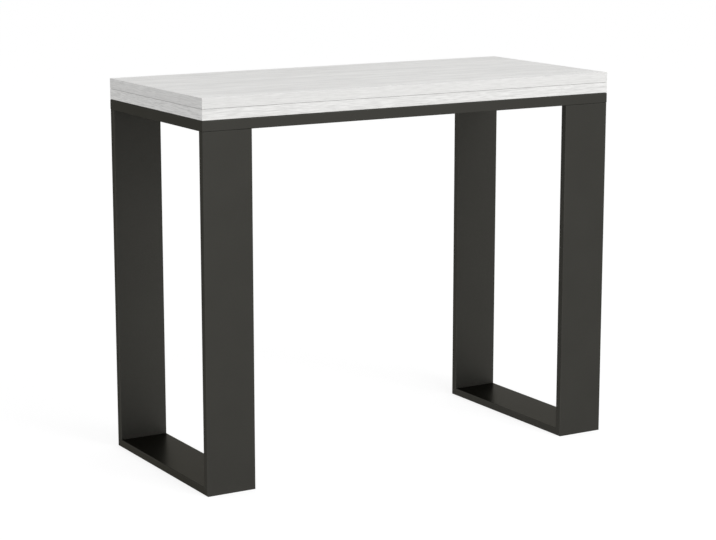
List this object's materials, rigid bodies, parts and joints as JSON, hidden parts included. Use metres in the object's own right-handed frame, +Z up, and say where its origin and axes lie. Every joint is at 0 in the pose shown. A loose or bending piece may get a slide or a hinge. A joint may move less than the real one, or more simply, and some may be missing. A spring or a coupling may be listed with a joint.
{
  "type": "extending console table",
  "caption": "Slim console table whose stacked top slides forward and folds open to twice its depth, on two flat band legs in dark painted steel.",
  "frame": {"origin": "on the floor, under the middle of the closed table", "axes": "+X along the table's length, -Y towards its front, +Z up"},
  "size_m": [0.9, 0.4029, 0.738],
  "materials": {
    "pale_ash_board": "matt faced board with faint pale ash grain",
    "pale_ash_edging": "matt edging strip with the same grain",
    "anthracite_coat": "fine satin powder coat",
    "zinc_steel": "bright zinc plate",
    "hinge_steel": "satin nickel plate",
    "shoe_nylon": "moulded black nylon",
    "glide_tape": "low-friction plastic",
    "clear_bumper": "soft translucent silicone"
  },
  "bodies": {
    "frame": {"front_rail": "anthracite_coat", "rear_rail": "anthracite_coat", "left_end_rail": "anthracite_coat", "left_guide_channel": "anthracite_coat", "left_leg_front_upright": "anthracite_coat", "left_leg_rear_upright": "anthracite_coat", "left_leg_floor_bar": "anthracite_coat", "left_leg_cap_plates": "zinc_steel", "right_end_rail": "anthracite_coat", "right_guide_channel": "anthracite_coat", "right_leg_front_upright": "anthracite_coat", "right_leg_rear_upright": "anthracite_coat", "right_leg_floor_bar": "anthracite_coat", "right_leg_cap_plates": "zinc_steel", "leg_bolts": "zinc_steel", "glide_pads": "glide_tape"},
    "lower_leaf": {"lower_leaf_board": "pale_ash_board", "lower_leaf_front_edging": "pale_ash_edging", "lower_leaf_back_edging": "pale_ash_edging", "lower_leaf_left_edging": "pale_ash_edging", "lower_leaf_right_edging": "pale_ash_edging", "left_slide_shoe": "shoe_nylon", "right_slide_shoe": "shoe_nylon", "shoe_screws": "zinc_steel", "leaf_bumpers": "clear_bumper", "lower_hinge_screws": "zinc_steel", "left_hinge_lower_wing": "hinge_steel", "middle_hinge_lower_wing": "hinge_steel", "right_hinge_lower_wing": "hinge_steel", "left_hinge_pin": "hinge_steel", "middle_hinge_pin": "hinge_steel", "right_hinge_pin": "hinge_steel"},
    "upper_leaf": {"upper_leaf_board": "pale_ash_board", "upper_leaf_front_edging": "pale_ash_edging", "upper_leaf_back_edging": "pale_ash_edging", "upper_leaf_left_edging": "pale_ash_edging", "upper_leaf_right_edging": "pale_ash_edging", "upper_hinge_screws": "zinc_steel", "left_hinge_upper_wing": "hinge_steel", "middle_hinge_upper_wing": "hinge_steel", "right_hinge_upper_wing": "hinge_steel"}
  },
  "joints": [
    {"name": "top_slide", "type": "slide", "parent": "frame", "child": "lower_leaf", "axis": [0, -1, 0], "range_m": [0, 0.2]},
    {"name": "leaf_fold", "type": "hinge", "parent": "lower_leaf", "child": "upper_leaf", "pos_m": [0, 0.2004, 0.71775], "axis": [-1, 0, 0], "range_deg": [0, 180]}
  ]
}
